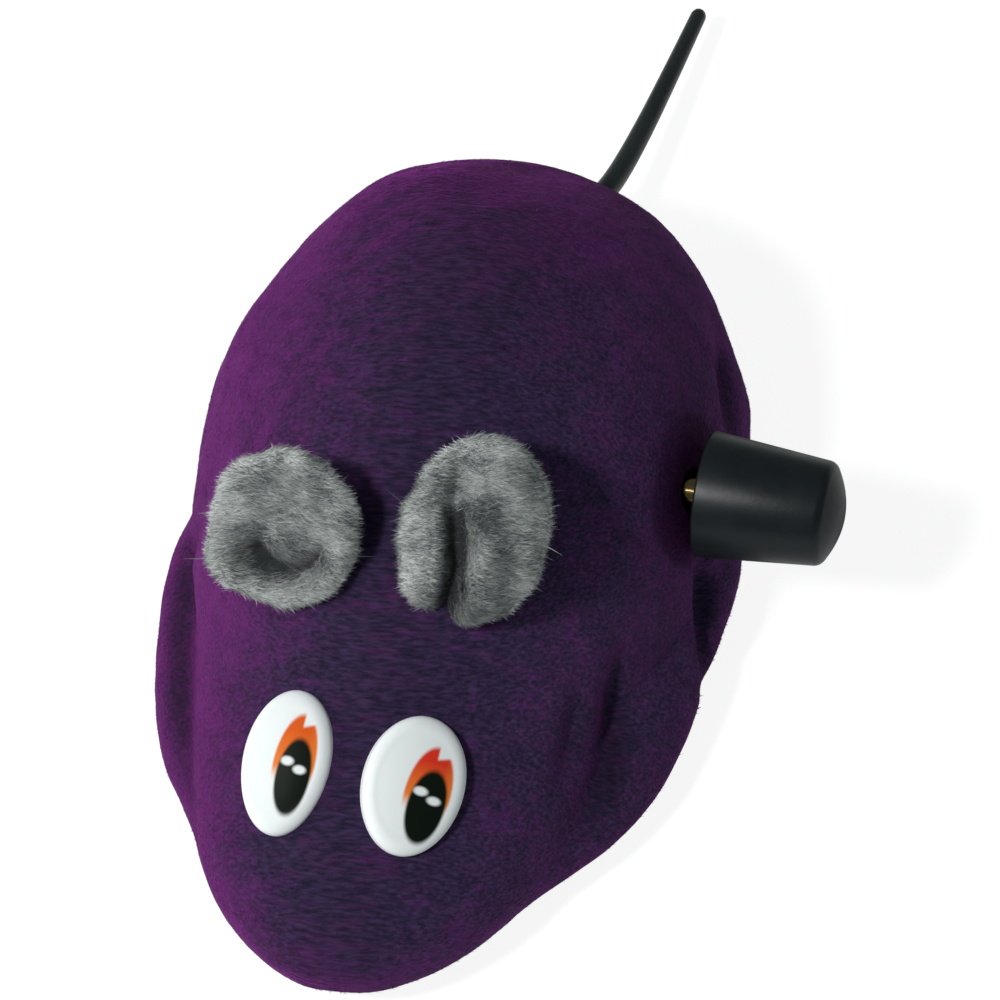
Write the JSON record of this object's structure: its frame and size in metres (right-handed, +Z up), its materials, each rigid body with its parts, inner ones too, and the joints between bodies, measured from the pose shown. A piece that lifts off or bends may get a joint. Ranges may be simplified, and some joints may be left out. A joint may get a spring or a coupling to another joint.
{
  "type": "clockwork toy mouse",
  "caption": "Small wind-up toy mouse with a velour skin over a moulded shell, plush ears, oval eyes, rubber tail and a side knob that winds a geared spring motor.",
  "frame": {"origin": "middle of the footprint, on the floor under the wheels", "axes": "+Z up, nose towards -Y and tail towards +Y, winding knob towards +X (the mouse's left)"},
  "size_m": [0.0682, 0.1234, 0.0431],
  "materials": {
    "velour": "short dark purple pile",
    "plush": "grey plush pile",
    "shell_plastic": "moulded, matt",
    "base_plastic": "moulded, matt",
    "eye_plastic": "white, glossy, with a printed iris and pupil",
    "knob_plastic": "black, slightly glossy",
    "tail_rubber": "black, satin",
    "tyre_rubber": "black, matt",
    "gear_plastic": "natural white, moulded",
    "brass": "turned or stamped brass",
    "steel": "bright steel",
    "spring_steel": "blued spring strip"
  },
  "bodies": {
    "mouse": {"fabric_cover": "velour", "body_shell": "shell_plastic", "base_plate": "base_plastic", "tail": "tail_rubber", "eye_left": "eye_plastic", "eye_right": "eye_plastic", "ear_left": "plush", "ear_right": "plush", "base_screw_front": "steel", "base_screw_rear_left": "steel", "base_screw_rear_right": "steel", "roller_pin": "steel", "motor_plate_left": "steel", "motor_plate_right": "steel", "frame_pillar_front": "steel", "frame_pillar_top": "steel", "frame_pillar_rear": "steel", "frame_pillar_lower": "steel", "motor_screw_left": "steel", "motor_screw_right": "steel", "mainspring": "spring_steel"},
    "winder": {"winding_shaft": "brass", "winding_knob": "knob_plastic", "ratchet_wheel": "steel"},
    "great": {"great_wheel": "brass", "click": "steel"},
    "idler": {"idler_gear": "gear_plastic", "idler_arbor": "steel"},
    "drive": {"drive_axle": "steel", "axle_pinion": "gear_plastic", "drive_wheel_left": "base_plastic", "drive_wheel_right": "base_plastic", "drive_tyre_left": "tyre_rubber", "drive_tyre_right": "tyre_rubber"},
    "roller": {"front_roller": "base_plastic"}
  },
  "joints": [
    {"name": "winding", "type": "hinge", "parent": "mouse", "child": "winder", "pos_m": [-0.00555, -0.00891, 0.0199], "axis": [1, 0, 0], "range_deg": [-1620, 0], "deforming": ["mainspring"]},
    {"name": "drive_spin", "type": "hinge", "parent": "mouse", "child": "drive", "pos_m": [-0.00555, 0.00729, 0.01], "axis": [1, 0, 0], "continuous": true},
    {"name": "idler_spin", "type": "hinge", "parent": "mouse", "child": "idler", "pos_m": [-0.00555, 0.00351, 0.02139], "axis": [1, 0, 0], "continuous": true},
    {"name": "great_spin", "type": "hinge", "parent": "mouse", "child": "great", "pos_m": [-0.00555, -0.00891, 0.0199], "axis": [1, 0, 0], "continuous": true},
    {"name": "roller_spin", "type": "hinge", "parent": "mouse", "child": "roller", "pos_m": [-0.00555, -0.03871, 0.0042], "axis": [1, 0, 0], "continuous": true}
  ],
  "couplings": [
    {"joint": "idler_spin", "follows": "drive_spin", "ratio": -0.33333},
    {"joint": "great_spin", "follows": "drive_spin", "ratio": 0.083333}
  ]
}
